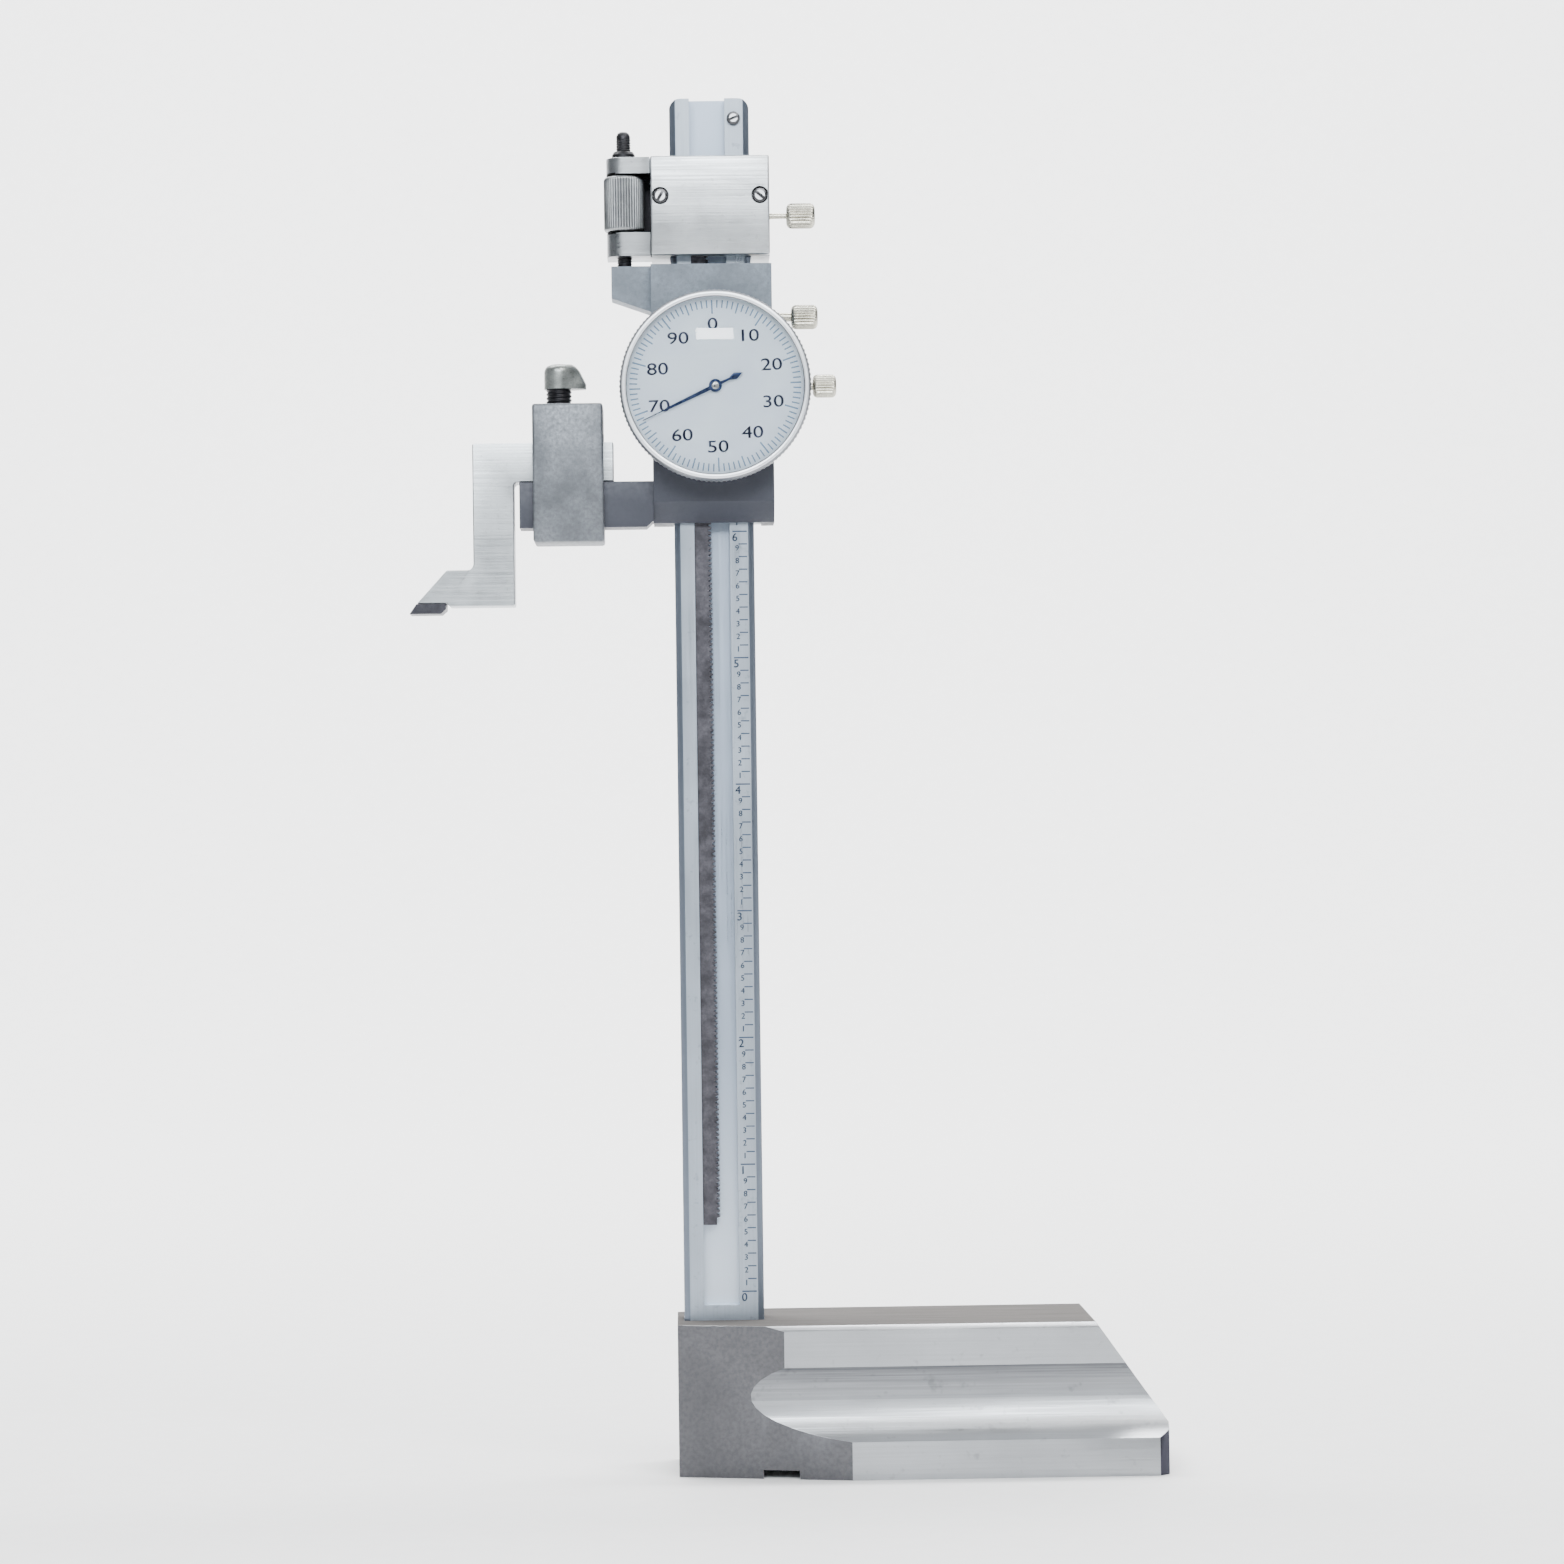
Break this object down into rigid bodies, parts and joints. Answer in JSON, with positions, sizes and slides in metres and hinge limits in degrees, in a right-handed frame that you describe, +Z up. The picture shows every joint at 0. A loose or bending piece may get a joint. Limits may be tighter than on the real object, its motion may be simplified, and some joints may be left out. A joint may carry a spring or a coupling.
{
  "type": "dial height gauge",
  "caption": "Dial height gauge: gripped steel base, graduated column with a rack, slider with a dial, jaw and carbide scriber, and a fine-adjust carriage above it.",
  "frame": {"origin": "the column's middle line where it meets the plane of the base underside", "axes": "+Z up the column, -Y towards the reader of the dial, +X from the column along the base"},
  "size_m": [0.1483, 0.0456, 0.2754],
  "materials": {
    "base_steel": "ground and satin chromed",
    "column_steel": "fine vertical grind, satin chromed",
    "rack_steel": "dark oiled steel",
    "slider_steel": "dull satin grey",
    "ground_steel": "brushed",
    "clamp_steel": "dull, slightly mottled",
    "plated_steel": "bright nickel plate",
    "black_steel": "black oxide",
    "brass": "satin",
    "blued_steel": "blued",
    "bezel_chrome": "polished chrome",
    "crystal_glass": "clear",
    "dial_white": "matt white",
    "carbide": "sintered, matt dark grey"
  },
  "bodies": {
    "stand": {"base": "base_steel", "column": "column_steel", "rack": "rack_steel", "rack_screw_lower": "black_steel", "rack_screw_upper": "black_steel", "column_screw_left": "black_steel", "column_screw_right": "black_steel", "stop_screw": "plated_steel"},
    "slider": {"slider_body": "slider_steel", "slider_back_plate": "ground_steel", "back_plate_screw_1": "plated_steel", "back_plate_screw_2": "plated_steel", "back_plate_screw_3": "plated_steel", "back_plate_screw_4": "plated_steel", "gib": "brass", "gib_screw_lower": "black_steel", "gib_screw_upper": "black_steel", "drive_bush": "brass", "dial_case": "plated_steel", "case_screw_left": "plated_steel", "case_screw_right": "plated_steel", "movement_plate": "brass", "movement_pillar_1": "brass", "movement_pillar_2": "brass", "movement_pillar_3": "brass", "movement_pillar_4": "brass", "movement_screw_1": "plated_steel", "movement_screw_2": "plated_steel", "movement_screw_3": "plated_steel", "movement_screw_4": "plated_steel", "fine_screw": "black_steel"},
    "drive": {"pinion_arbor": "rack_steel", "drive_wheel": "brass"},
    "pointer": {"pointer": "blued_steel", "pointer_arbor": "plated_steel"},
    "takeup": {"takeup_wheel": "brass", "takeup_arbor": "plated_steel", "hairspring": "blued_steel"},
    "bezel": {"bezel": "bezel_chrome", "crystal": "crystal_glass", "dial_face": "dial_white"},
    "bezel_clamp": {"bezel_clamp_screw": "plated_steel"},
    "slider_clamp": {"slider_clamp_screw": "plated_steel"},
    "carriage": {"carriage_block": "ground_steel", "carriage_plate": "ground_steel", "plate_screw_left": "plated_steel", "plate_screw_right": "plated_steel", "yoke_bush": "black_steel"},
    "nut": {"fine_nut": "plated_steel"},
    "carriage_clamp": {"carriage_clamp_screw": "plated_steel"},
    "clamp": {"clamp_box": "clamp_steel", "pressure_pad": "brass"},
    "clamp_turn": {"clamp_screw": "black_steel", "clamp_knob": "plated_steel"},
    "scriber": {"scriber": "ground_steel", "carbide_tip": "carbide"}
  },
  "joints": [
    {"name": "slider_travel", "type": "slide", "parent": "stand", "child": "slider", "axis": [0, 0, 1], "range_m": [-0.15412, 0.003]},
    {"name": "drive_turn", "type": "hinge", "parent": "slider", "child": "drive", "pos_m": [0.0008, 0, 0.20873], "axis": [0, 1, 0], "range_deg": [-108, 5463]},
    {"name": "pointer_turn", "type": "hinge", "parent": "slider", "child": "pointer", "pos_m": [0.0005, 0, 0.21623], "axis": [0, 1, 0], "range_deg": [-21849, 430]},
    {"name": "takeup_turn", "type": "hinge", "parent": "slider", "child": "takeup", "pos_m": [0.0002, 0, 0.22372], "axis": [0, 1, 0], "range_deg": [-108, 5463]},
    {"name": "bezel_turn", "type": "hinge", "parent": "slider", "child": "bezel", "pos_m": [0.0005, 0, 0.21623], "axis": [0, 1, 0], "continuous": true},
    {"name": "bezel_clamp_turn", "type": "hinge", "parent": "slider", "child": "bezel_clamp", "pos_m": [0, -0.0131, 0.21623], "axis": [1, 0, 0], "range_deg": [-45, 360]},
    {"name": "slider_clamp_turn", "type": "hinge", "parent": "slider", "child": "slider_clamp", "pos_m": [0, 0, 0.23163], "axis": [1, 0, 0], "range_deg": [-45, 360]},
    {"name": "nut_turn", "type": "hinge", "parent": "carriage", "child": "nut", "pos_m": [-0.0173, -0.003, 0.24868], "axis": [0, 0, 1], "range_deg": [-1085, 2165]},
    {"name": "fine_adjust", "type": "slide", "parent": "slider", "child": "carriage", "axis": [0, 0, 1], "range_m": [-0.0015, 0.003]},
    {"name": "carriage_clamp_turn", "type": "hinge", "parent": "carriage", "child": "carriage_clamp", "pos_m": [0, 0, 0.25213], "axis": [1, 0, 0], "range_deg": [-45, 360]},
    {"name": "clamp_slide", "type": "slide", "parent": "slider", "child": "clamp", "axis": [1, 0, 0], "range_m": [-0.003, 0.0003]},
    {"name": "clamp_screw_turn", "type": "hinge", "parent": "clamp", "child": "clamp_turn", "pos_m": [-0.0308, -0.0046, 0.21358], "axis": [0, 0, 1], "range_deg": [-20, 720]},
    {"name": "scriber_slide", "type": "slide", "parent": "clamp", "child": "scriber", "axis": [1, 0, 0], "range_m": [-0.01, 0.0003]}
  ],
  "couplings": [
    {"joint": "drive_turn", "follows": "slider_travel", "rad_per_m": -618.42},
    {"joint": "pointer_turn", "follows": "slider_travel", "rad_per_m": 2473.7},
    {"joint": "takeup_turn", "follows": "slider_travel", "rad_per_m": -618.42},
    {"joint": "nut_turn", "follows": "fine_adjust", "rad_per_m": 12566}
  ]
}
